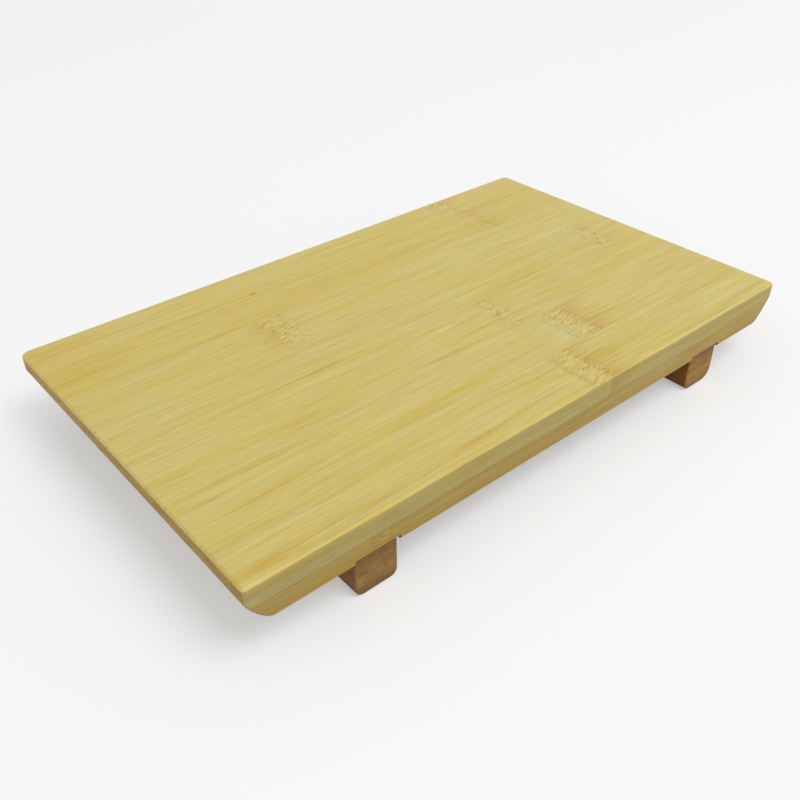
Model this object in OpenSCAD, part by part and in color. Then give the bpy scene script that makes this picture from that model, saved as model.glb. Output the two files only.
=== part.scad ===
// Sushi geta board: a laminated bamboo serving board on two cross feet.
// The origin is on the table, below the middle of the board. X runs along the
// grain, Y from the front long side to the back one, and Z up.

/* [Board] */
// Length of the board, along the grain
board_l = 270; // [210:1:360]
// Width of the board, across the grain
board_w = 162.5; // [120:0.5:200]
// Thickness of each of the board's two plies
ply_t = 8.5; // [6:0.5:10]
// Width of a full bamboo strip
strip_w = 24.1; // [18:0.1:30]

/* [Ends of the board] */
// Height of the upright face at the top of the left end
left_land = 6.2; // [2:0.1:7]
// Height of the upright face at the top of the right end
right_land = 5; // [2:0.1:7]
// Radius of the undercut face below the upright one
undercut_r = 30; // [27:1:60]
// Angle off the upright at which the undercut face starts
undercut_lean = 24; // [15:0.5:30]
// Radius that turns the undercut face into the underside
toe_r = 4.5; // [2:0.5:9]

/* [Edges of the board] */
// Chamfer of the edges round the top
top_chamfer = 0.8; // [0.3:0.1:1]
// Chamfer of the long lower edges and of the cheeks of the undercut ends
lower_chamfer = 0.6; // [0.3:0.1:1]
// Radius of the two front corners, seen from above
front_corner_r = 1.4; // [1.2:0.1:6]
// Radius of the two back corners, seen from above
back_corner_r = 3.5; // [1.2:0.1:6]

/* [Feet] */
// Width of a foot, along the board
foot_w = 17.2; // [12:0.1:24]
// Thickness of each of a foot's two plies
foot_ply_t = 8.5; // [6:0.5:12]
// Distance from the left end of the board to the outer side of the left foot
left_foot_inset = 39.3; // [25:0.1:60]
// Distance from the right end of the board to the outer side of the right foot
right_foot_inset = 38.2; // [25:0.1:60]
// Distance that the ends of a foot lie in from the sides of the board
foot_setback = 0.4; // [0:0.1:3]
// Radius along the outer lower edge of the left foot
left_outer_r = 2.8; // [1.2:0.1:7]
// Radius along the inner lower edge of the left foot
left_inner_r = 3.2; // [1.2:0.1:7]
// Radius along the inner lower edge of the right foot
right_inner_r = 2.8; // [1.2:0.1:7]
// Radius along the outer lower edge of the right foot
right_outer_r = 5.6; // [1.2:0.1:7]
// Chamfer of the edges round the ends of a foot
foot_chamfer = 0.5; // [0.2:0.1:1]

/* [Housings] */
// Depth of the housing that a foot is glued into
housing_depth = 2; // [0.5:0.1:4]
// Play that is left in the housing at the right of a foot
housing_play = 1.2; // [0.2:0.1:2]

/* [Hidden] */
$fn = 96;
// Overrun of every cut past the face that it leaves
over = 1;

board_t = 2 * ply_t;
foot_h = 2 * foot_ply_t;
foot_l = board_w - 2 * foot_setback;
// Heights above the table of the underside, of the glue joint and of the top
under_z = foot_h - housing_depth;
joint_z = under_z + ply_t;
top_z = under_z + board_t;
end_x = board_l / 2;
side_y = board_w / 2;
left_foot_x = left_foot_inset + foot_w / 2 - end_x;
right_foot_x = end_x - right_foot_inset - foot_w / 2;

// The last strip of a ply takes what the full ones leave of the width, which
// is from half a strip to one and a half
strip_count = round(board_w / strip_w);
last_strip_w = board_w - (strip_count - 1) * strip_w;

// Centre of the undercut face's arc at the right end, in X, and how far it
// lies above the foot of the upright face
face_x = end_x - undercut_r * cos(undercut_lean);
face_rise = undercut_r * sin(undercut_lean);
// Centre of the toe's arc, which touches that arc and the underside
toe_z = under_z + toe_r;
toe_gap = undercut_r - toe_r;
// Sides of the wedge between the two places where the toe touches
toe_reach = 2 * toe_r;

upper_bamboo = [0.80, 0.73, 0.46];
lower_bamboo = [0.66, 0.57, 0.33];
upper_foot_bamboo = [0.55, 0.42, 0.25];
lower_foot_bamboo = [0.59, 0.47, 0.28];

// Round bar that stands on zero, with a chamfer c round both ends
module chamfered_bar(r, l, c) {
    rotate_extrude() polygon([[0, 0], [r - c, 0], [r, c], [r, l - c], [r - c, l], [0, l]]);
}

// What an edge along the X axis loses to a chamfer c, where the two faces
// that meet there look to +Y and +Z
module edge_waste(c, l) {
    rotate([90, 0, 90]) linear_extrude(l + 2 * over, center = true)
        polygon([[-c - over, over], [over, over], [over, -c - over]]);
}

// What the board's upright corner at +X and +Y loses to the radius r
module corner_waste(r) {
    translate([end_x - r, side_y - r, under_z - over]) difference() {
        cube([r + over, r + over, board_t + 2 * over]);
        chamfered_bar(r, board_t + over, top_chamfer);
    }
}

// What the board loses along its long side at +Y
module side_waste() {
    translate([0, side_y, top_z]) edge_waste(top_chamfer, board_l);
    translate([0, side_y, under_z]) mirror([0, 0, 1]) edge_waste(lower_chamfer, board_l);
}

// What the board loses below a right end's upright face of the height land.
// The chamfer of the bar runs down both cheeks
module undercut_waste(land) {
    difference() {
        translate([face_x, -side_y - over, under_z - over])
            cube([end_x - face_x + over, board_w + 2 * over, board_t - land + over]);
        translate([face_x, side_y, top_z - land + face_rise])
            rotate([90, 0, 0]) chamfered_bar(undercut_r, board_w, lower_chamfer);
    }
}

// What the toe of that end loses between the undercut and the underside
module toe_waste(land) {
    fall = asin((top_z - land + face_rise - toe_z) / toe_gap);
    translate([face_x + toe_gap * cos(fall), side_y, toe_z]) rotate([90, 0, 0]) difference() {
        translate([0, 0, -over]) linear_extrude(board_w + 2 * over) polygon([
            [0, 0],
            [0, -toe_reach],
            [toe_reach * cos(fall), -toe_reach * sin(fall)]
        ]);
        chamfered_bar(toe_r, board_w, lower_chamfer);
    }
}

module end_waste(land) {
    translate([end_x, 0, top_z]) rotate([0, 0, -90]) edge_waste(top_chamfer, board_w);
    undercut_waste(land);
    toe_waste(land);
}

// The stretch of the finished board from y to y + w, in the ply above z
module strip(y, w, z) {
    difference() {
        translate([-end_x, y, z]) cube([board_l, w, ply_t]);
        for (m = [0, 1]) {
            mirror([0, m, 0]) side_waste();
            mirror([m, 0, 0]) {
                end_waste(m == 0 ? right_land : left_land);
                corner_waste(back_corner_r);
                mirror([0, 1, 0]) corner_waste(front_corner_r);
            }
        }
    }
}

// The groove across the underside for the foot whose middle is at x, which
// is pushed up against the groove's left wall
module housing(x) {
    translate([x - foot_w / 2, -side_y - over, under_z - over])
        cube([foot_w + housing_play, board_w + 2 * over, housing_depth + over]);
}

function width_of(i) = i == strip_count ? last_strip_w : strip_w;

// Strip number i of the upper ply, counted from the front
module upper_strip(i) {
    color(upper_bamboo) strip(-side_y + (i - 1) * strip_w, width_of(i), joint_z);
}

// Strip number i of the lower ply, counted from the front. This ply is laid
// out from the back, so that its joints lie away from those above
module lower_strip(i) {
    from_back = strip_count + 1 - i;
    w = width_of(from_back);
    color(lower_bamboo) difference() {
        strip(side_y - (from_back - 1) * strip_w - w, w, under_z);
        for (x = [left_foot_x, right_foot_x]) housing(x);
    }
}

// What a foot loses along its lower edge at +X, round the ends of that edge
// and up the two upright edges over it
module foot_edge_waste(r) {
    translate([foot_w / 2 - r, foot_l / 2, r]) rotate([90, 0, 0]) difference() {
        translate([0, -r - over, -over]) cube([r + over, r + over, foot_l + 2 * over]);
        chamfered_bar(r, foot_l, foot_chamfer);
    }
    for (m = [0, 1]) mirror([0, m, 0])
        translate([foot_w / 2, foot_l / 2, foot_h / 2])
            rotate([0, 90, 0]) edge_waste(foot_chamfer, foot_h);
}

// A whole foot with its middle at x = 0
module foot_bar(left_r, right_r) {
    difference() {
        translate([-foot_w / 2, -foot_l / 2, 0]) cube([foot_w, foot_l, foot_h]);
        mirror([1, 0, 0]) foot_edge_waste(left_r);
        foot_edge_waste(right_r);
        for (m = [0, 1]) mirror([0, m, 0])
            translate([0, foot_l / 2, 0]) mirror([0, 0, 1]) edge_waste(foot_chamfer, foot_w);
    }
}

// One ply of a foot, which is glued of two like the board that it is sawn from
module foot_ply(side, ply) {
    x = side == "left" ? left_foot_x : right_foot_x;
    z = ply == "upper" ? foot_ply_t : 0;
    color(ply == "upper" ? upper_foot_bamboo : lower_foot_bamboo) intersection() {
        translate([x, 0, 0]) {
            if (side == "left") foot_bar(left_outer_r, left_inner_r);
            else foot_bar(right_inner_r, right_outer_r);
        }
        translate([x - foot_w / 2, -foot_l / 2, z]) cube([foot_w, foot_l, foot_ply_t]);
    }
}

for (i = [1:strip_count]) {
    upper_strip(i);
    lower_strip(i);
}
for (side = ["left", "right"], ply = ["upper", "lower"]) {
    foot_ply(side, ply);
}
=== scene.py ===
"""Looks of a sushi geta board: bamboo for its strips and feet, a pale studio and the camera.

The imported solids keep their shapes. Each gets its own procedural bamboo, laid out in millimetres
along its grain, so that one solid pattern gives the fibres on a face, the dots on an end and the
knuckles through both.
"""

from __future__ import annotations

import logging
import math
from dataclasses import dataclass, replace
from enum import Enum

import bmesh
import bpy
from mathutils import Matrix, Vector

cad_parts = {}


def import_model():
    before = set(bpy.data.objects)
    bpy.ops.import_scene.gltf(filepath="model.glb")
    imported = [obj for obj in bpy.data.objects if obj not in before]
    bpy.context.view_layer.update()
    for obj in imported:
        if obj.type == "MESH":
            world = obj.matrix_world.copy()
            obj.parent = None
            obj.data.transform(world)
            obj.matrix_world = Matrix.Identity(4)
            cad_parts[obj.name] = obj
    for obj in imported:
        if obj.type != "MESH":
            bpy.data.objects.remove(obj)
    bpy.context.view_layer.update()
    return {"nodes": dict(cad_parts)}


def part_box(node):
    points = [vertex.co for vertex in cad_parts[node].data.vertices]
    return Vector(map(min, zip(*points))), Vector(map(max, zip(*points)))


Rgb = tuple[float, float, float]
Size3 = tuple[float, float, float]
Span = tuple[float, float]
Socket = bpy.types.NodeSocket
Value = Socket | float
Paint = Socket | Rgb

MILLIMETRE = 0.001
ORIGIN = (0.0, 0.0, 0.0)
UNIT = (1.0, 1.0, 1.0)
WHITE = (1.0, 1.0, 1.0)
log = logging.getLogger("geta_board")

# How far the pattern moves on along, across and through the grain, with each seed and each layer
SEED_STEP_MM = (173.0, 86.5, 51.9)
LAYER_STEP_MM = (31.0, -17.0, 23.0)
# How far in all the fibres wander off the grain, and are pushed by the swirls at a knuckle
WANDER_MM = 3.2
SWIRL_MM = 3.0
# How far off a knuckle the swirls reach
SWIRL_REACH_MM = 16.0
# How far above the table a placed streak has its middle, and how far it reaches up and down
STREAK_LEVEL_MM = 20.0
STREAK_DEPTH_MM = 40.0
# Half a glue line, from where it is darkest to where it has gone
GLUE_MM = (0.03, 0.16)
# Painted shade: how far below the wood above it a foot starts to darken, and is darkest
CONTACT_SHADE_MM = (1.1, 0.2)
# Painted shade: how far above the table a foot is darkened
TABLE_SHADE_MM = 2.2
# Painted highlight: how far below the top the pale band on the upright faces starts, and is palest
BRIM_HIGHLIGHT_MM = (2.2, 0.7)

# How far in all the ends of a knuckle's band are frayed along the fibres
FRINGE_MM = 6.0
# Half the thin line at the band's edge, from where it is darkest to where it has gone
LINE_MM = (0.2, 2.4)
# In halves of the band: where the shade sets in, where the pale patch ends and where the speckles
# end
SHADE_START = (0.15, 0.85)
PALE_END = 0.4
BAND_END = (0.55, 1.15)
# In the knuckle's reach, beyond the band: where the shade ends at the least and at the most, and
# how far off the pale patch sets in
SHADE_END = (0.5, 1.3)
PALE_START = 0.7
# How strong the shade and the line stay between the threads that they are combed into
COMB_REST = 0.45

# How squarely a face looks a way: where it starts to count as such, and where it does in full
ASIDE = (0.78, 0.95)
ENDWAYS = (0.76, 0.96)
LEVEL = (0.2, 0.6)
# The same for the arris, with its painted highlight, which looks up at a slant: towards the upright
# faces, and the top
ARRIS_LOW = (0.45, 0.65)
ARRIS_HIGH = (0.78, 0.93)
# The depth in a ply, as a share of it, over which it takes on the tone of the skin side
SKIN_DEPTH = (0.15, 1.0)

# How dark the glue lines and the threads are
PLY_GLUE = 0.30
STRIP_GLUE = 0.18
THREAD_SHARE = 0.60
# How deep the threads and the bristles lie in the relief
THREAD_DEPTH = 0.7
BRISTLE_DEPTH = 1.6
# How far the points of a layer of cells stray from a grid
CELL_SPREAD = 0.9
# The share of the way to its centre from which a blob is full
BLOB_CORE = 0.75
# How far the floor lies below the soles, in metres
FLOOR_GAP = 0.00005

# Dyes: the share of each colour's light that is left, over 1 where it gets paler
WARM_DYE = (0.960, 0.860, 0.560)
OCHRE_DYE = (0.940, 0.820, 0.500)
PALE_DYE = (1.030, 1.070, 1.300)
GREY_DYE = (0.930, 0.925, 1.020)
MINT_DYE = (0.970, 1.070, 1.400)
DARK_DYE = (0.840, 0.790, 0.700)
LIT_DYE = (1.060, 1.080, 1.250)
# Pale flecks between a knuckle's bristles, partly a painted highlight on their relief
FLECK_AND_HIGHLIGHT_DYE = (1.180, 1.230, 1.500)
# Painted light: the right part of the board's front face paler
FRONT_LIGHT_DYE = (1.090, 1.095, 1.050)
# Painted highlight on the arris
ARRIS_HIGHLIGHT_DYE = (1.120, 1.115, 1.150)
# Painted highlight along the top of the board's upright faces
BRIM_HIGHLIGHT_DYE = (1.280, 1.262, 1.140)
# Painted light: the back part of the board's left end paler
BACK_END_LIGHT_DYE = (1.110, 1.160, 1.200)
# Painted shade at the top of a foot, where it meets the board above it
CONTACT_SHADE_DYE = (0.400, 0.320, 0.300)
# Painted shade at the bottom of a foot, near the table
TABLE_SHADE_DYE = (0.620, 0.520, 0.480)
SPECK_DYE = (0.550, 0.420, 0.340)


class Grain(Enum):
    """The way that a piece's fibres run, as the turn that lays them along the pattern's X."""

    ALONG_BOARD = 0.0
    ALONG_FOOT = math.radians(90.0)


class Side(Enum):
    """The end of a knuckle, along the grain."""

    LEFT = -1.0
    RIGHT = 1.0


@dataclass(frozen=True)
class Layer:
    """One layer of the endless pattern of fibres.

    Attributes:
        number: Its number, which moves it so that no two layers agree.
        size: Its feature size along, across and through the grain, in millimetres.
        span: The noise where the layer starts to change, and where it has changed in full.
        share: How strongly it shows before and after that.
        detail: How many finer noises are added.
        roughness: How strong those are.
        turn: The angle off the grain that its features lie at.
        cells: Whether it is made of cells instead of soft noise.
    """

    number: int
    size: Size3
    span: Span = (0.0, 1.0)
    share: Span = (0.0, 1.0)
    detail: float = 2.0
    roughness: float = 0.5
    turn: float = 0.0
    cells: bool = False


# The layers that bend the fibres
WANDER = Layer(1, (110.0, 16.0, 16.0), detail=1.0)
SWIRL = Layer(2, (9.0, 3.2, 3.2), detail=1.0)
# Those that tint them, from the broadest to the finest
BROAD = Layer(5, (80.0, 4.5, 6.0), (0.44, 0.66), (0.0, 0.75), roughness=0.6)
PALE = Layer(6, (60.0, 2.6, 5.0), (0.48, 0.72), (0.0, 0.58), 1.5, 0.55)
ROSE = Layer(7, (42.0, 1.9, 3.0), (0.47, 0.66), (0.0, 0.70), 1.5, 0.55)
YELLOW = Layer(8, (48.0, 1.3, 2.4), (0.48, 0.66), (0.0, 0.66), 1.5, 0.55)
LIT = Layer(9, (30.0, 0.7, 1.2), (0.50, 0.66), (0.0, 0.65), 1.5, 0.55)
# Those that draw them
BUNDLE = Layer(10, (90.0, 1.25, 1.25), (0.12, 0.42), (0.42, 0.0), cells=True)
THREAD = Layer(11, (26.0, 0.65, 0.8), (0.50, 0.68), detail=1.5, roughness=0.55)
TICK = Layer(13, (5.0, 0.5, 0.6), (0.53, 0.68), (0.0, 0.40), detail=1.0)
# What breaks up a placed streak
BREAK = Layer(12, (40.0, 1.1, 1.4), (0.3, 0.6), (0.45, 1.0))
# What makes a knuckle ragged, and combs, spreads and speckles it
RAGGED = Layer(14, (40.0, 5.0, 6.0), roughness=0.6)
COMB = Layer(15, (26.0, 0.9, 1.2), (0.42, 0.56), detail=1.5)
SPREAD = Layer(17, (60.0, 4.0, 5.0), (0.35, 0.65), detail=1.0)
PALE_SPREAD = replace(SPREAD, span=(0.35, 0.6))
FRINGE = Layer(21, (60.0, 1.4, 1.8), detail=1.0)
PATCH = Layer(18, (6.0, 4.0, 5.0), (0.38, 0.58), (0.35, 1.0), detail=1.0)
BRISTLE = Layer(16, (3.6, 0.66, 0.8), (0.50, 0.61), detail=1.0, turn=math.radians(10.0))
BRISTLE_GAP = replace(BRISTLE, span=(0.37, 0.49), share=(1.0, 0.0))
# What shows on sawn ends
SAWN = Layer(19, (60.0, 12.0, 1.3), (0.42, 0.60), (0.0, 0.9))
DOT = Layer(20, (60.0, 0.95, 0.85), (0.16, 0.40), (1.0, 0.0), cells=True)
# What the roughness follows
GLOSS = Layer(25, (30.0, 2.0, 2.0), (0.3, 0.7))


class NodeSheet:
    """The node tree of one material or world, with a short method for each kind of node in it."""

    def __init__(self, owner: bpy.types.Material | bpy.types.World) -> None:
        """Empties the owner's node tree.

        Args:
            owner: The material or world.
        """
        owner.use_nodes = True
        self.nodes = owner.node_tree.nodes
        self.links = owner.node_tree.links
        self.nodes.clear()

    def feed(self, socket: Socket, value: Value | Rgb | Size3) -> None:
        """Links a socket to another node's output, or sets its value.

        Args:
            socket: The input to feed.
            value: An output socket, a number, a colour or three sizes.
        """
        if isinstance(value, bpy.types.NodeSocket):
            self.links.new(value, socket)
        elif socket.type == "RGBA":
            socket.default_value = (*value, 1.0)
        else:
            socket.default_value = value

    def add(
        self, kind: str, inputs: dict[str | int, Value | Rgb | Size3] | None = None
    ) -> bpy.types.Node:
        """One node.

        Args:
            kind: Its type, without the word that all of them start with.
            inputs: What its inputs are fed, by their names or places.

        Returns:
            The node.
        """
        node = self.nodes.new(f"ShaderNode{kind}")
        for name, value in (inputs or {}).items():
            self.feed(node.inputs[name], value)
        return node

    def math(
        self, operation: str, first: Value, second: Value = 0.0, clamp: bool = False
    ) -> Socket:
        """One Math node.

        Args:
            operation: The node's operation.
            first: Its first input.
            second: Its second input.
            clamp: Whether the result is kept from 0 to 1.

        Returns:
            The result's socket.
        """
        node = self.add("Math", {0: first, 1: second})
        node.operation = operation
        node.use_clamp = clamp
        return node.outputs[0]

    def product(self, first: Value, *others: Value) -> Socket:
        """The product of two values or more."""
        for value in others:
            first = self.math("MULTIPLY", first, value)
        return first

    def unsigned(self, value: Socket) -> Socket:
        """A value without its sign."""
        return self.math("ABSOLUTE", value)

    def off(self, value: Socket, place: float) -> Socket:
        """How far a value lies off a place, on either side."""
        return self.unsigned(self.math("SUBTRACT", value, place))

    def swing(self, noise: Socket, width: float) -> Socket:
        """Noise as a push to either side, over the given width in all."""
        return self.product(self.math("SUBTRACT", noise, 0.5), width)

    def ramp(
        self, value: Value, low: float, high: float, start: float = 0.0, end: float = 1.0
    ) -> Socket:
        """A smooth step from start to end, as value goes from low to high.

        Args:
            value: What is ramped.
            low: Where the step starts.
            high: Where the step ends.
            start: The result up to low.
            end: The result from high on.

        Returns:
            The result's socket.
        """
        limits = {"From Min": low, "From Max": high, "To Min": start, "To Max": end}
        node = self.add("MapRange", {"Value": value, **limits})
        node.interpolation_type = "SMOOTHSTEP"
        return node.outputs["Result"]

    def place(self, vector: Socket, centre: Size3, size: Size3, turn: float = 0.0) -> Socket:
        """Coordinates that are zero at a centre and one a size away from it.

        Args:
            vector: The coordinates to change.
            centre: Where the new ones are zero.
            size: What counts as one along each axis.
            turn: The angle about Z that the new axes are turned by.

        Returns:
            The new coordinates' socket.
        """
        axes = {"Location": centre, "Rotation": (0.0, 0.0, turn), "Scale": size}
        node = self.add("Mapping", {"Vector": vector, **axes})
        node.vector_type = "TEXTURE"
        return node.outputs["Vector"]

    def noise(self, vector: Socket, detail: float, roughness: float) -> Socket:
        """Soft noise with a feature about every unit.

        Args:
            vector: The coordinates.
            detail: How many finer noises are added.
            roughness: How strong those are.

        Returns:
            The noise's socket, mostly from 0.3 to 0.7.
        """
        grade = {"Scale": 1.0, "Detail": detail, "Roughness": roughness}
        return self.add("TexNoise", {"Vector": vector, **grade}).outputs["Fac"]

    def cells(self, vector: Socket) -> Socket:
        """The distance to the nearest of the points that lie about a unit apart."""
        grid = {"Scale": 1.0, "Randomness": CELL_SPREAD}
        return self.add("TexVoronoi", {"Vector": vector, **grid}).outputs["Distance"]

    def blob(self, vector: Socket, centre: Size3, half: Size3) -> Socket:
        """A soft egg-shaped mask that falls from 1 at its centre to 0.

        Args:
            vector: The coordinates.
            centre: The centre.
            half: Its half length along each axis.

        Returns:
            The mask's socket.
        """
        node = self.add("TexGradient", {"Vector": self.place(vector, centre, half)})
        node.gradient_type = "SPHERICAL"
        return self.ramp(node.outputs["Fac"], 0.0, BLOB_CORE)

    def split(self, vector: Socket) -> tuple[Socket, Socket, Socket]:
        """The three parts of a vector."""
        return tuple(self.add("SeparateXYZ", {"Vector": vector}).outputs)

    def join(self, x: Value, y: Value, z: Value) -> Socket:
        """A vector of three parts."""
        return self.add("CombineXYZ", {"X": x, "Y": y, "Z": z}).outputs["Vector"]

    def colour(self, below: Paint, above: Paint, share: Value, blend: str = "MIX") -> Socket:
        """One Mix node for colours.

        Args:
            below: The colour where the share is 0.
            above: The colour that is laid over it.
            share: How much of it is laid.
            blend: How it is laid, such as MIX or MULTIPLY.

        Returns:
            The result's socket.
        """
        node = self.add("Mix", {"Factor": share})
        node.data_type = "RGBA"
        node.blend_type = blend
        first, second = (socket for socket in node.inputs if socket.type == "RGBA")
        self.feed(first, below)
        self.feed(second, above)
        return next(socket for socket in node.outputs if socket.type == "RGBA")

    def stain(self, below: Paint, dye: Rgb, share: Value) -> Socket:
        """A colour under a dye, whose parts say what share of the light each leaves."""
        return self.colour(below, dye, share, "MULTIPLY")

    def blend(self, share: Value, first: Socket, second: Socket) -> Socket:
        """One Mix Shader node, which gives the second shader its share."""
        return self.add("MixShader", {0: share, 1: first, 2: second}).outputs["Shader"]

    def seen(self) -> Socket:
        """One where the camera sees a thing, directly, in a gloss or through glass, else zero."""
        path = self.add("LightPath")
        total = path.outputs["Is Camera Ray"]
        for name in ("Is Glossy Ray", "Is Transmission Ray"):
            total = self.math("MAXIMUM", total, path.outputs[name])
        return total


@dataclass(frozen=True)
class Seat:
    """Where a piece is glued, in millimetres.

    Attributes:
        joint: The height of the glue joint between its ply and the next.
        ply: The thickness of its ply.
        glued: The places across the grain where it is glued to its neighbours.
        roof: The height where it meets the wood above it, if it does.
    """

    joint: float
    ply: float
    glued: tuple[float, ...] = ()
    roof: float | None = None


@dataclass(frozen=True)
class Satin:
    """The thin satin finish over sanded bamboo.

    Attributes:
        rough: Its roughness, where it is glossiest and where it is dullest.
        specular: Its specular level.
        bump: How strongly the relief of the grain shows.
        relief: The depth of that relief, in metres.
    """

    rough: Span = (0.42, 0.54)
    specular: float = 0.30
    bump: float = 0.35
    relief: float = 0.06 * MILLIMETRE


@dataclass(frozen=True)
class Streak:
    """A long soft streak in a strip, in millimetres: another tone of the bamboo, and at a few
    places painted light and shade.

    Attributes:
        at: Its middle, along the grain and across it.
        half: Its half length and half width.
        dye: What it is dyed with.
        share: How strong it is.
    """

    at: tuple[float, float]
    half: tuple[float, float]
    dye: Rgb
    share: float


@dataclass(frozen=True)
class Knuckle:
    """A node of the culm, where the fibres swerve and break up, in millimetres.

    Attributes:
        at: Where it lies along the grain.
        half: Half the length of its speckled band.
        speckle: How strong the speckles are.
        line: How strong the thin dark line at the band's edge is.
        shade: How strong the brown shade beside the band is.
        reach: How far that shade goes.
        side: The end of the band that the shade lies at. The line and a pale patch lie at the
            other.
        pale: How strong the pale patch is.
        sway: How far in all the band strays along the grain.
        tint: The dye of the pale patch.
        edge: How much of the speckles and the line shows on the upright faces.
    """

    at: float
    half: float = 4.5
    speckle: float = 1.0
    line: float = 0.3
    shade: float = 0.5
    reach: float = 14.0
    side: Side = Side.RIGHT
    pale: float = 0.4
    sway: float = 4.0
    tint: Rgb = PALE_DYE
    edge: float = 0.3


@dataclass(frozen=True)
class BambooTone:
    """The colours of one kind of bamboo, as light reflected, and the dyes that vary it.

    Attributes:
        body: The plain colour between the fibres.
        yellow: The dye of its yellow streaks.
        pale: The dye of its pale streaks.
        rose: The dye of its greyish pink streaks.
        fibre: The dye of single fibre bundles.
        skin: The dye towards the side that lay near the skin of the culm.
        side: The dye of the faces sawn along the strip's thickness; on the feet it is painted
            shade.
        end: The dye of sawn ends.
        brown: The dye of knuckles.
        shade: The dye of the shades beside them.
        glue: The dye of glue lines.
    """

    body: Rgb
    yellow: Rgb
    pale: Rgb
    rose: Rgb
    fibre: Rgb
    skin: Rgb
    side: Rgb
    end: Rgb
    brown: Rgb
    shade: Rgb
    glue: Rgb


BOARD_TONE = BambooTone(
    body=(0.632, 0.538, 0.192),
    yellow=(0.970, 0.920, 0.620),
    pale=(1.030, 1.060, 1.300),
    rose=(0.965, 0.935, 1.080),
    fibre=(0.880, 0.850, 0.760),
    skin=(0.985, 0.960, 0.860),
    side=(0.918, 0.872, 0.830),
    end=(0.945, 0.765, 0.355),
    brown=(0.700, 0.550, 0.360),
    shade=(0.840, 0.670, 0.420),
    glue=(0.620, 0.500, 0.360),
)
LOWER_TONE = BambooTone(
    body=(0.595, 0.450, 0.125),
    yellow=(0.950, 0.870, 0.600),
    pale=(1.030, 1.070, 1.300),
    rose=(0.970, 0.930, 1.060),
    fibre=(0.860, 0.810, 0.700),
    skin=(0.985, 0.890, 0.660),
    side=(0.912, 0.885, 0.845),
    end=(0.910, 0.740, 0.430),
    brown=(0.700, 0.550, 0.380),
    shade=(0.880, 0.760, 0.560),
    glue=(0.620, 0.500, 0.360),
)
FOOT_TONE = BambooTone(
    body=(0.470, 0.290, 0.070),
    yellow=(0.930, 0.860, 0.700),
    pale=(1.080, 1.160, 1.300),
    rose=(0.980, 0.900, 1.050),
    fibre=(0.780, 0.720, 0.640),
    skin=(0.720, 0.660, 0.620),
    # Painted shade on the feet's sides, which lie under the board
    side=(0.840, 0.640, 0.500),
    end=(0.910, 0.840, 0.740),
    brown=(0.700, 0.580, 0.460),
    shade=(0.850, 0.740, 0.620),
    glue=(0.560, 0.460, 0.380),
)


@dataclass(frozen=True)
class Wood:
    """What the bamboo of one piece is drawn with.

    Attributes:
        sheet: The material's nodes.
        plain: The straight coordinates, in millimetres, with the grain along X.
        fibres: The same, but swerved as the fibres are.
        facing: The way that the face looks, with the grain along X.
        seat: Where the piece is glued.
    """

    sheet: NodeSheet
    plain: Socket
    fibres: Socket
    facing: Socket
    seat: Seat


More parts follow.
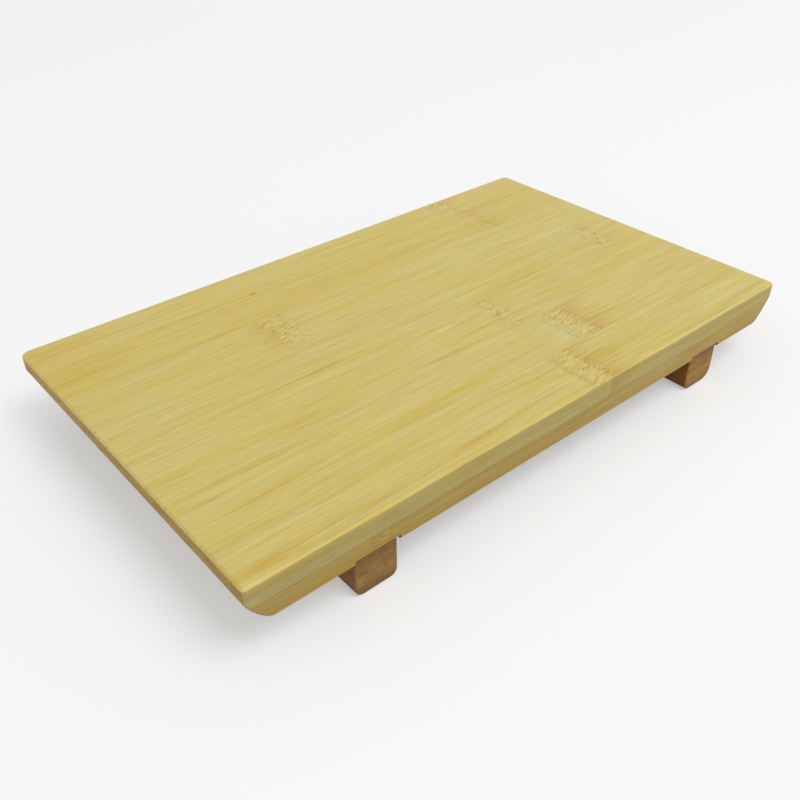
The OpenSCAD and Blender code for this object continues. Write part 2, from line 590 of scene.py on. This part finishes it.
@dataclass(frozen=True)
class BambooFinish:
    """The finish of one strip or ply of bamboo.

    Attributes:
        seed: Which stretch of the endless pattern this piece is cut from.
        tone: The colours.
        grain: The way the fibres run.
        knuckles: The nodes of the culm in this piece.
        streaks: The streaks that set it apart, a few of them painted light and shade.
        cast: A last dye over the whole piece.
        flank_shade: A further dye of the faces sawn along its thickness, painted shade on the feet.
        dots: How strong the dots of the cut bundles are on its ends.
        contrast: How strong its fine fibre lines are.
        satin: What lies over it.
    """

    seed: int
    tone: BambooTone
    grain: Grain = Grain.ALONG_BOARD
    knuckles: tuple[Knuckle, ...] = ()
    streaks: tuple[Streak, ...] = ()
    cast: Rgb = WHITE
    flank_shade: Rgb = WHITE
    dots: float = 0.6
    contrast: float = 1.0
    satin: Satin = Satin()

    def material(self, name: str, seat: Seat) -> bpy.types.Material:
        """Builds the material for one piece.

        Args:
            name: The piece's name.
            seat: Where the piece is glued.

        Returns:
            The material.
        """
        material = bpy.data.materials.new(f"bamboo_{name}")
        sheet = NodeSheet(material)
        source = sheet.add("TexCoord")
        turn = self.grain.value
        plain = sheet.place(source.outputs["Object"], ORIGIN, (MILLIMETRE,) * 3, turn)
        facing = sheet.place(source.outputs["Normal"], ORIGIN, UNIT, turn)
        wood = Wood(sheet, plain, self.swerved(sheet, plain), facing, seat)
        colour, height = self.lay_fibres(wood)
        for streak in self.streaks:
            colour = self.add_streak(wood, colour, streak)
        for knuckle in self.knuckles:
            colour, height = self.add_knuckle(wood, colour, height, knuckle)
        for add in (self.add_ends, self.add_glue, self.add_painted_shade_and_highlight):
            colour = add(wood, colour)
        self.finish_surface(wood, sheet.stain(colour, self.cast, 1.0), height)
        return material

    def noise(self, sheet: NodeSheet, where: Socket, layer: Layer) -> Socket:
        """The noise of one layer of the pattern, moved on by the seed.

        Args:
            sheet: The material's nodes.
            where: The coordinates that it is laid along.
            layer: The layer.

        Returns:
            The noise's socket.
        """
        steps = zip(SEED_STEP_MM, LAYER_STEP_MM)
        start = tuple((self.seed + 1) * seed + layer.number * number for seed, number in steps)
        spot = sheet.place(where, start, layer.size, layer.turn)
        if layer.cells:
            return sheet.cells(spot)
        return sheet.noise(spot, layer.detail, layer.roughness)

    def veil(
        self, sheet: NodeSheet, where: Socket, layer: Layer, strength: float = 1.0
    ) -> Socket:
        """How strongly one layer of the pattern shows at each place.

        Args:
            sheet: The material's nodes.
            where: The coordinates that it is laid along.
            layer: The layer.
            strength: What its share is multiplied by.

        Returns:
            The share's socket.
        """
        shares = (share * strength for share in layer.share)
        return sheet.ramp(self.noise(sheet, where, layer), *layer.span, *shares)

    def swerved(self, sheet: NodeSheet, plain: Socket) -> Socket:
        """Coordinates that wander a little across the grain, and more round the knuckles.

        Args:
            sheet: The material's nodes.
            plain: The straight coordinates.

        Returns:
            The coordinates along the fibres.
        """
        along, across, through = sheet.split(plain)
        sway = sheet.swing(self.noise(sheet, plain, WANDER), WANDER_MM)
        for number, knuckle in enumerate(self.knuckles, start=SWIRL.number):
            near = sheet.ramp(sheet.off(along, knuckle.at), 0.0, SWIRL_REACH_MM, 1.0, 0.0)
            swirl = self.noise(sheet, plain, replace(SWIRL, number=number))
            sway = sheet.math("ADD", sway, sheet.product(sheet.swing(swirl, SWIRL_MM), near))
        return sheet.join(along, sheet.math("ADD", across, sway), sheet.math("ADD", through, sway))

    def lay_fibres(self, wood: Wood) -> tuple[Socket, Socket]:
        """The plain grain: broad streaks, pale streaks, single bundles, and the change with depth.

        Args:
            wood: What the bamboo is drawn with.

        Returns:
            The colour and the height of the grain.
        """
        sheet, tone = wood.sheet, self.tone
        colour: Paint = tone.body
        for layer, dye in (
            (BROAD, tone.yellow), (PALE, tone.pale), (ROSE, tone.rose), (YELLOW, tone.yellow),
        ):
            colour = sheet.stain(colour, dye, self.veil(sheet, wood.fibres, layer))
        lit = self.veil(sheet, wood.fibres, LIT, self.contrast)
        colour = sheet.stain(colour, LIT_DYE, lit)
        height_mm = sheet.split(wood.plain)[2]
        depth = sheet.math("DIVIDE", sheet.off(height_mm, wood.seat.joint), wood.seat.ply)
        colour = sheet.stain(colour, tone.skin, sheet.ramp(depth, *SKIN_DEPTH))
        for layer in (BUNDLE, TICK):
            lines = self.veil(sheet, wood.fibres, layer, self.contrast)
            colour = sheet.stain(colour, tone.fibre, lines)
        threads = self.veil(sheet, wood.fibres, THREAD)
        dark = sheet.product(threads, THREAD_SHARE * self.contrast)
        colour = sheet.stain(colour, tone.fibre, dark)
        return colour, sheet.math("SUBTRACT", 1.0, sheet.product(threads, THREAD_DEPTH))

    def add_streak(self, wood: Wood, colour: Socket, streak: Streak) -> Socket:
        """Lays one placed streak, broken up a little along its threads.

        Args:
            wood: What the bamboo is drawn with.
            colour: The colour so far.
            streak: The streak.

        Returns:
            The new colour.
        """
        sheet = wood.sheet
        centre, half = (*streak.at, STREAK_LEVEL_MM), (*streak.half, STREAK_DEPTH_MM)
        mask = sheet.blob(wood.fibres, centre, half)
        broken = self.veil(sheet, wood.fibres, BREAK)
        return sheet.stain(colour, streak.dye, sheet.product(mask, broken, streak.share))

    def add_knuckle(
        self, wood: Wood, colour: Socket, height: Socket, knuckle: Knuckle
    ) -> tuple[Socket, Socket]:
        """Lays one knuckle: its shade, its pale patch, its speckled band and its thin line.

        Args:
            wood: What the bamboo is drawn with.
            colour: The colour so far.
            height: The height so far.
            knuckle: The knuckle.

        Returns:
            The new colour and height.
        """
        sheet, plain, fibres = wood.sheet, wood.plain, wood.fibres
        tone, half, reach = self.tone, knuckle.half, knuckle.reach
        gone = sheet.math("SUBTRACT", sheet.split(plain)[0], knuckle.at)
        gone = sheet.math("ADD", gone, sheet.swing(self.noise(sheet, plain, RAGGED), knuckle.sway))
        gone = sheet.product(gone, knuckle.side.value)
        comb = sheet.ramp(self.veil(sheet, fibres, COMB), 0.0, 1.0, COMB_REST, 1.0)
        flat = sheet.ramp(sheet.unsigned(sheet.split(wood.facing)[2]), *LEVEL, knuckle.edge, 1.0)

        rise = sheet.ramp(gone, *(share * half for share in SHADE_START))
        ends = (half + share * reach for share in SHADE_END)
        end = sheet.ramp(self.noise(sheet, fibres, SPREAD), *SPREAD.span, *ends)
        fall = sheet.math("SUBTRACT", 1.0, sheet.math("DIVIDE", gone, end), clamp=True)
        colour = sheet.stain(colour, tone.shade, sheet.product(rise, fall, comb, knuckle.shade))

        before = sheet.ramp(gone, -half - PALE_START * reach, -half)
        past = sheet.ramp(gone, -half, -PALE_END * half, 1.0, 0.0)
        spread = self.veil(sheet, fibres, PALE_SPREAD)
        pale = sheet.product(before, past, spread, knuckle.pale)
        colour = sheet.stain(colour, knuckle.tint, pale)

        fringe = sheet.swing(self.noise(sheet, fibres, FRINGE), FRINGE_MM)
        frayed = sheet.unsigned(sheet.math("ADD", gone, fringe))
        band = sheet.ramp(frayed, *(share * half for share in BAND_END), 1.0, 0.0)
        band = sheet.product(band, self.veil(sheet, plain, PATCH), flat, knuckle.speckle)
        dark = sheet.product(band, self.veil(sheet, fibres, BRISTLE))
        colour = sheet.stain(colour, tone.brown, dark)
        # Pale flecks between the bristles, partly a painted highlight on their relief
        lit = sheet.product(band, self.veil(sheet, fibres, BRISTLE_GAP))
        colour = sheet.stain(colour, FLECK_AND_HIGHLIGHT_DYE, lit)

        line = sheet.ramp(sheet.off(gone, -half), *LINE_MM, 1.0, 0.0)
        colour = sheet.stain(colour, tone.brown, sheet.product(line, comb, flat, knuckle.line))
        return colour, sheet.math("SUBTRACT", height, sheet.product(dark, BRISTLE_DEPTH))

    def add_ends(self, wood: Wood, colour: Socket) -> Socket:
        """Tones the sawn sides and ends, dots the ends with cut bundles, and paints a highlight on
        the arris.

        Args:
            wood: What the bamboo is drawn with.
            colour: The colour so far.

        Returns:
            The new colour.
        """
        sheet, tone = wood.sheet, self.tone
        out, aside, up = sheet.split(wood.facing)
        # On the feet, the side dye and the flank dye are painted shade under the board
        side = sheet.ramp(sheet.unsigned(aside), *ASIDE)
        for dye in (tone.side, self.flank_shade):
            colour = sheet.stain(colour, dye, side)
        sawn = sheet.ramp(sheet.unsigned(out), *ENDWAYS)
        colour = sheet.stain(colour, tone.end, sawn)
        layers = sheet.product(sawn, self.veil(sheet, wood.plain, SAWN))
        colour = sheet.stain(colour, tone.shade, layers)
        dots = sheet.product(sawn, self.veil(sheet, wood.plain, DOT, self.dots))
        colour = sheet.stain(colour, tone.brown, dots)
        # Painted highlight on the arris, which looks up at a slant
        arris_highlight = sheet.product(sheet.ramp(up, *ARRIS_LOW), sheet.ramp(up, *ARRIS_HIGH, 1.0, 0.0))
        return sheet.stain(colour, ARRIS_HIGHLIGHT_DYE, arris_highlight)

    def add_glue(self, wood: Wood, colour: Socket) -> Socket:
        """Lays the hair-thin glue lines at the piece's glued faces.

        Args:
            wood: What the bamboo is drawn with.
            colour: The colour so far.

        Returns:
            The new colour.
        """
        sheet, seat = wood.sheet, wood.seat
        _, across, through = sheet.split(wood.plain)
        lines = [(through, seat.joint, PLY_GLUE), *((across, y, STRIP_GLUE) for y in seat.glued)]
        for value, place, share in lines:
            line = sheet.ramp(sheet.off(value, place), *GLUE_MM, share, 0.0)
            colour = sheet.stain(colour, self.tone.glue, line)
        return colour

    def add_painted_shade_and_highlight(self, wood: Wood, colour: Socket) -> Socket:
        """Paints shade on a foot below the board and above the table, and a highlight along the top
        of the board's upright faces.

        Args:
            wood: What the bamboo is drawn with.
            colour: The colour so far.

        Returns:
            The new colour.
        """
        sheet, seat = wood.sheet, wood.seat
        height_mm = sheet.split(wood.plain)[2]
        # Painted shade at the top of a foot, under the board
        if seat.roof is not None:
            near = sheet.ramp(height_mm, *(seat.roof - below for below in CONTACT_SHADE_MM))
            colour = sheet.stain(colour, CONTACT_SHADE_DYE, near)
        if self.grain is Grain.ALONG_FOOT:
            # Painted shade at the bottom of a foot, near the table
            return sheet.stain(colour, TABLE_SHADE_DYE, sheet.ramp(height_mm, 0.0, TABLE_SHADE_MM, 1.0, 0.0))
        # Painted highlight along the top of the board's upright faces
        brim_highlight = sheet.ramp(height_mm, *(seat.joint + seat.ply - below for below in BRIM_HIGHLIGHT_MM))
        upright = sheet.ramp(sheet.unsigned(sheet.split(wood.facing)[2]), *LEVEL, 1.0, 0.0)
        return sheet.stain(colour, BRIM_HIGHLIGHT_DYE, sheet.product(brim_highlight, upright))

    def finish_surface(self, wood: Wood, colour: Socket, height: Socket) -> None:
        """Lays the satin finish over the sanded bamboo.

        Args:
            wood: What the bamboo is drawn with.
            colour: The finished colour.
            height: The height of the grain.
        """
        sheet, satin = wood.sheet, self.satin
        relief = {"Strength": satin.bump, "Distance": satin.relief, "Height": height}
        gloss = sheet.ramp(self.noise(sheet, wood.fibres, GLOSS), *GLOSS.span, *satin.rough)
        shader = sheet.add("BsdfPrincipled", {
            "Base Color": colour,
            "Roughness": gloss,
            "Specular IOR Level": satin.specular,
            "Normal": sheet.add("Bump", relief).outputs["Normal"],
        })
        sheet.add("OutputMaterial", {"Surface": shader.outputs["BSDF"]})


def wear(node: bpy.types.Object, material: bpy.types.Material) -> None:
    """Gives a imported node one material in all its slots.

    Args:
        node: The node's object.
        material: The material.
    """
    if not node.material_slots:
        node.data.materials.append(material)
    for slot in node.material_slots:
        slot.material = material


@dataclass
class BoardPly:
    """One ply of the board: strips side by side, glued to their neighbours and to the other ply.

    Attributes:
        level: The word that its nodes' names start with.
        finishes: The finish of each strip, from the front.
    """

    level: str
    finishes: tuple[BambooFinish, ...]

    def dress(self, nodes: dict[str, bpy.types.Object], joint_mm: float) -> None:
        """Gives each strip its bamboo.

        Args:
            nodes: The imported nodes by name.
            joint_mm: The height of the joint between the plies.
        """
        count = sum(name.startswith(f"{self.level}_strip_") for name in nodes)
        for number in range(1, count + 1):
            name = f"{self.level}_strip_{number}"
            low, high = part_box(name)
            glued = []
            if number > 1:
                glued.append(low.y / MILLIMETRE)
            if number < count:
                glued.append(high.y / MILLIMETRE)
            finish = self.finishes[(number - 1) % len(self.finishes)]
            seat = Seat(joint_mm, (high.z - low.z) / MILLIMETRE, tuple(glued))
            wear(nodes[name], finish.material(name, seat))
            log.info("%s wears its bamboo, seed %d", name, finish.seed)


@dataclass
class Foot:
    """One of the two feet, glued of two plies.

    Attributes:
        side: The word that its nodes' names start with.
        finishes: The finish of its upper and of its lower ply.
    """

    side: str
    finishes: tuple[BambooFinish, BambooFinish]

    def dress(self, nodes: dict[str, bpy.types.Object]) -> None:
        """Gives both plies their bamboo.

        Args:
            nodes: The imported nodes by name.
        """
        joint_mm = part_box(f"{self.side}_foot_lower_ply")[1].z / MILLIMETRE
        for ply, finish in zip(("upper", "lower"), self.finishes):
            name = f"{self.side}_foot_{ply}_ply"
            low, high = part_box(name)
            roof_mm = high.z / MILLIMETRE if ply == "upper" else None
            seat = Seat(joint_mm, (high.z - low.z) / MILLIMETRE, roof=roof_mm)
            wear(nodes[name], finish.material(name, seat))
            log.info("%s wears its bamboo, seed %d", name, finish.seed)


@dataclass(frozen=True)
class Lamp:
    """A square soft lamp that looks at the board.

    Attributes:
        name: Its name.
        place: Where it hangs, in metres.
        side: The length of its side, in metres.
        power: Its power, in watts.
    """

    name: str
    place: Size3
    side: float
    power: float

    def build(self) -> None:
        """Hangs the lamp."""
        light = bpy.data.lights.new(self.name, "AREA")
        light.size = self.side
        light.energy = self.power
        lamp = bpy.data.objects.new(self.name, light)
        lamp.location = self.place
        lamp.rotation_euler = (-Vector(self.place)).to_track_quat("-Z", "Y").to_euler()
        bpy.context.scene.collection.objects.link(lamp)


@dataclass
class Studio:
    """The pale floor, the white surround and the soft lamp.

    Attributes:
        floor_half: Half the floor's side, in metres.
        floor_fade: How far off the floor has gone over into the white of the surround.
        floor_seen: The floor's colour as the camera sees it.
        floor_lift: What the floor adds by itself where the camera sees it.
        floor_bounce: The floor's colour for the light that it throws back.
        surround: The strength of the light from all round.
        lamp: The soft lamp.
    """

    floor_half: float = 6.0
    floor_fade: float = 2.0
    floor_seen: float = 0.55
    floor_lift: float = 0.40
    floor_bounce: float = 0.28
    surround: float = 0.632
    lamp: Lamp = Lamp("key_lamp", (0.445, -1.22, 2.25), side=1.4, power=29.5)

    def build(self) -> None:
        """Makes the floor, the surround and the lamp."""
        self.build_floor()
        self.build_surround()
        self.lamp.build()

    def build_floor(self) -> None:
        """A wide plain floor just under the soles, which a camera below it looks through."""
        shape = bmesh.new()
        under = Matrix.Translation((0.0, 0.0, -FLOOR_GAP))
        bmesh.ops.create_grid(shape, x_segments=1, y_segments=1, size=self.floor_half, matrix=under)
        mesh = bpy.data.meshes.new("floor")
        shape.to_mesh(mesh)
        shape.free()
        floor = bpy.data.objects.new("floor", mesh)
        bpy.context.scene.collection.objects.link(floor)
        mesh.materials.append(self.floor_material())

    def floor_material(self) -> bpy.types.Material:
        """The pale floor, which goes over into white far off and is clear from below.

        Returns:
            The material.
        """
        material = bpy.data.materials.new("pale_floor")
        sheet = NodeSheet(material)
        seen = sheet.seen()
        tone = sheet.colour((self.floor_bounce,) * 3, (self.floor_seen,) * 3, seen)
        matt = sheet.add("BsdfDiffuse", {"Color": tone}).outputs["BSDF"]
        lift = sheet.add("Emission", {"Strength": sheet.product(seen, self.floor_lift)})
        near = sheet.add("AddShader", {0: matt, 1: lift.outputs["Emission"]}).outputs["Shader"]
        spot = sheet.add("TexCoord").outputs["Object"]
        far = sheet.math("SUBTRACT", 1.0, sheet.blob(spot, ORIGIN, (self.floor_fade,) * 3))
        white = sheet.add("Emission").outputs["Emission"]
        top = sheet.blend(sheet.product(seen, far), near, white)
        from_below = sheet.add("NewGeometry").outputs["Backfacing"]
        clear = sheet.add("BsdfTransparent").outputs["BSDF"]
        sheet.add("OutputMaterial", {"Surface": sheet.blend(from_below, top, clear)})
        return material

    def build_surround(self) -> None:
        """White where it is seen, and a soft even light on the board."""
        world = bpy.data.worlds.new("white_surround")
        bpy.context.scene.world = world
        sheet = NodeSheet(world)
        strength = sheet.ramp(sheet.seen(), 0.0, 1.0, self.surround, 1.0)
        back = sheet.add("Background", {"Color": WHITE, "Strength": strength})
        sheet.add("OutputWorld", {"Surface": back.outputs["Background"]})


@dataclass(frozen=True)
class PhotoCamera:
    """The camera, solved from the edges of the board in the photograph.

    Attributes:
        place: Where it stands, in metres.
        azimuth: The angle about Z that it looks along, from +Y.
        elevation: How far it looks down.
        roll: How far it leans.
        focal_px: Its focal length in pixels of an image as wide as image_px.
        image_px: The image's width.
        sensor_mm: The width of the sensor.
        near: How close to it a thing can be seen, in metres.
    """

    place: Size3 = (-0.20938, -0.24091, 0.21944)
    azimuth: float = -39.688
    elevation: float = 35.784
    roll: float = -0.92
    focal_px: float = 894.38
    image_px: float = 800.0
    sensor_mm: float = 36.0
    near: float = 0.01

    def build(self) -> None:
        """Makes the camera and sets it as the scene's."""
        data = bpy.data.cameras.new("photo_camera")
        data.sensor_width = self.sensor_mm
        data.lens = self.sensor_mm * self.focal_px / self.image_px
        data.clip_start = self.near
        camera = bpy.data.objects.new("photo_camera", data)
        turn = (
            Matrix.Rotation(math.radians(self.azimuth), 4, "Z")
            @ Matrix.Rotation(math.radians(90.0 - self.elevation), 4, "X")
            @ Matrix.Rotation(math.radians(self.roll), 4, "Z")
        )
        camera.matrix_world = Matrix.Translation(self.place) @ turn
        bpy.context.scene.collection.objects.link(camera)
        bpy.context.scene.camera = camera


UPPER_STRIPS = (
    BambooFinish(
        1, BOARD_TONE,
        knuckles=(
            Knuckle(
                22.4, half=6.2, speckle=0.75, line=0.42, shade=1.0, reach=14.0, pale=0.2, sway=1.0,
                edge=0.1,
            ),
        ),
        streaks=(
            Streak((-95.0, -75.5), (75.0, 3.2), OCHRE_DYE, 0.8),
            Streak((-40.0, -75.0), (26.0, 2.6), OCHRE_DYE, 0.7),
            Streak((-122.0, -60.0), (16.0, 0.8), DARK_DYE, 0.7),
            Streak((-95.0, -68.0), (42.0, 1.6), LIT_DYE, 0.5),
            Streak((75.0, -59.5), (26.0, 2.5), PALE_DYE, 0.7),
            # Painted light: the right part of the board's front face paler
            Streak((95.0, -82.2), (110.0, 2.4), FRONT_LIGHT_DYE, 1.0),
            Streak((-122.0, -76.5), (24.0, 3.4), OCHRE_DYE, 1.0),
            # Painted shade: the front part of the board's left end darker
            Streak((-136.0, -70.0), (3.0, 16.0), OCHRE_DYE, 0.9),
        ),
        contrast=1.1,
    ),
    BambooFinish(
        2, BOARD_TONE,
        knuckles=(
            Knuckle(
                43.8, half=6.8, speckle=0.62, line=0.2, shade=0.95, reach=14.0, pale=1.0,
                tint=MINT_DYE,
            ),
        ),
        streaks=(
            Streak((32.0, -46.5), (12.0, 9.0), MINT_DYE, 0.3),
            Streak((-108.0, -51.5), (26.0, 1.6), OCHRE_DYE, 0.6),
            Streak((-10.0, -48.0), (20.0, 1.6), WARM_DYE, 0.4),
            Streak((62.0, -50.0), (22.0, 3.0), WARM_DYE, 0.7),
            Streak((-125.0, -42.0), (14.0, 1.6), DARK_DYE, 0.6),
            Streak((-52.0, -42.0), (12.0, 1.6), OCHRE_DYE, 0.6),
            Streak((-105.0, -36.5), (44.0, 2.4), OCHRE_DYE, 0.9),
        ),
    ),
    BambooFinish(
        3, BOARD_TONE,
        knuckles=(
            Knuckle(
                27.8, half=4.4, speckle=0.66, line=0.1, shade=0.25, reach=8.0, pale=0.2, sway=3.0
            ),
        ),
        streaks=(
            Streak((-9.0, -31.0), (20.0, 1.8), OCHRE_DYE, 0.8),
            Streak((57.0, -21.5), (18.0, 0.8), DARK_DYE, 0.6),
            Streak((-3.0, -26.0), (6.0, 0.7), DARK_DYE, 0.6),
        ),
    ),
    BambooFinish(
        4, BOARD_TONE,
        knuckles=(
            Knuckle(
                111.0, half=5.4, speckle=0.62, line=0.1, shade=0.5, reach=6.0, pale=0.6, sway=9.0
            ),
        ),
        streaks=(
            Streak((-75.0, -6.5), (65.0, 1.7), OCHRE_DYE, 0.8),
            Streak((-52.0, -6.5), (14.0, 1.5), OCHRE_DYE, 0.6),
            Streak((63.0, -6.5), (24.0, 1.4), OCHRE_DYE, 0.6),
            Streak((3.0, -2.4), (24.0, 1.8), OCHRE_DYE, 0.9),
            Streak((-60.0, 3.0), (70.0, 1.2), LIT_DYE, 0.4),
            Streak((63.0, 7.0), (32.0, 2.0), GREY_DYE, 0.8),
        ),
        cast=(0.990, 0.995, 0.985), contrast=0.95,
    ),
    BambooFinish(
        5, BOARD_TONE,
        knuckles=(
            Knuckle(
                -46.8, half=7.0, speckle=0.68, line=0.15, shade=0.75, reach=9.0, side=Side.LEFT,
                pale=0.1, sway=9.0,
            ),
        ),
        streaks=(
            Streak((40.0, 16.5), (80.0, 1.8), LIT_DYE, 0.6),
            Streak((-130.0, 17.0), (12.0, 1.8), WARM_DYE, 0.6),
            Streak((-58.0, 18.5), (16.0, 2.0), OCHRE_DYE, 0.9),
            Streak((-45.0, 30.5), (20.0, 2.4), WARM_DYE, 0.6),
        ),
    ),
    BambooFinish(
        6, BOARD_TONE,
        knuckles=(
            Knuckle(
                82.5, half=5.6, speckle=0.5, line=0.1, shade=0.6, reach=8.0, pale=0.1, sway=6.0
            ),
        ),
        streaks=(
            Streak((0.0, 47.5), (70.0, 3.0), OCHRE_DYE, 0.7),
            Streak((100.0, 61.5), (40.0, 2.6), OCHRE_DYE, 0.8),
            Streak((-80.0, 61.0), (60.0, 2.6), WARM_DYE, 0.8),
            Streak((-75.0, 41.0), (65.0, 1.8), OCHRE_DYE, 0.7),
            Streak((85.0, 41.0), (24.0, 1.8), OCHRE_DYE, 0.6),
            Streak((-117.0, 48.0), (22.0, 3.0), WARM_DYE, 0.8),
            Streak((0.0, 39.6), (120.0, 0.7), LIT_DYE, 0.4),
            Streak((-25.0, 42.4), (70.0, 2.2), WARM_DYE, 0.7),
            Streak((-40.0, 53.0), (36.0, 3.4), OCHRE_DYE, 0.6),
            Streak((-126.0, 54.0), (34.0, 13.0), OCHRE_DYE, 0.7),
            Streak((-40.6, 60.6), (3.0, 1.6), SPECK_DYE, 0.8),
            # Painted light: the back part of the board's left end paler
            Streak((-136.0, 56.0), (3.0, 26.0), BACK_END_LIGHT_DYE, 0.9),
        ),
        cast=(0.985, 0.962, 0.830), contrast=0.75,
    ),
    BambooFinish(
        7, BOARD_TONE,
        knuckles=(
            Knuckle(
                81.5, half=6.4, speckle=0.65, line=0.2, shade=0.3, reach=6.0, pale=0.1, sway=6.0
            ),
        ),
        streaks=(
            Streak((-128.0, 72.0), (44.0, 13.0), OCHRE_DYE, 0.7),
            # Painted light: the back part of the board's left end paler
            Streak((-136.0, 72.0), (3.0, 26.0), BACK_END_LIGHT_DYE, 1.0),
        ),
        cast=(0.995, 0.985, 0.940), contrast=0.75,
    ),
)
LOWER_STRIPS = tuple(
    BambooFinish(
        seed, LOWER_TONE,
        knuckles=(Knuckle(place, half=4.5, speckle=0.6, shade=0.4, pale=0.2, edge=0.7),),
        # Painted light: the right part of the board's front face paler
        streaks=(Streak((95.0, -82.2), (110.0, 2.4), FRONT_LIGHT_DYE, 0.9),),
    )
    for seed, place in enumerate((-84.0, 36.0, -20.0, 104.0, -61.0, 58.0, -112.0), start=20)
)
# Painted shade on the sides of each foot
LEFT_FLANK_SHADE = (0.99, 0.85, 0.60)
RIGHT_FLANK_SHADE = (0.86, 0.86, 1.10)
FEET = (
    Foot("left", (
        BambooFinish(
            40, FOOT_TONE, Grain.ALONG_FOOT,
            knuckles=(Knuckle(26.0, half=5.0, speckle=0.55, shade=0.8, pale=0.2, edge=0.9),),
            cast=(0.84, 0.84, 1.00), flank_shade=LEFT_FLANK_SHADE, dots=0.25,
        ),
        BambooFinish(
            41, FOOT_TONE, Grain.ALONG_FOOT,
            knuckles=(
                Knuckle(
                    -18.0, half=5.0, speckle=0.5, shade=0.8, side=Side.LEFT, pale=0.2, edge=0.9
                ),
            ),
            cast=(0.96, 1.00, 1.04), flank_shade=LEFT_FLANK_SHADE, dots=0.25,
        ),
    )),
    Foot("right", (
        BambooFinish(
            42, FOOT_TONE, Grain.ALONG_FOOT,
            knuckles=(
                Knuckle(
                    -8.0, half=5.0, speckle=0.5, shade=0.8, side=Side.LEFT, pale=0.2, edge=0.9
                ),
            ),
            cast=(1.00, 0.91, 0.58), flank_shade=RIGHT_FLANK_SHADE, dots=0.25,
        ),
        BambooFinish(
            43, FOOT_TONE, Grain.ALONG_FOOT,
            knuckles=(Knuckle(40.0, half=5.0, speckle=0.55, shade=0.8, pale=0.2, edge=0.9),),
            cast=(1.12, 1.13, 0.78), flank_shade=RIGHT_FLANK_SHADE, dots=0.25,
        ),
    )),
)


def main() -> None:
    """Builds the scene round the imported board."""
    logging.basicConfig(level=logging.INFO, format="%(name)s: %(message)s")
    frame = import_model()
    nodes = frame["nodes"]
    joint_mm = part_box("lower_strip_1")[1].z / MILLIMETRE
    BoardPly("upper", UPPER_STRIPS).dress(nodes, joint_mm)
    BoardPly("lower", LOWER_STRIPS).dress(nodes, joint_mm)
    for foot in FEET:
        foot.dress(nodes)
    Studio().build()
    PhotoCamera().build()
    bpy.context.scene.view_settings.view_transform = "Standard"


if __name__ == "__main__":
    main()
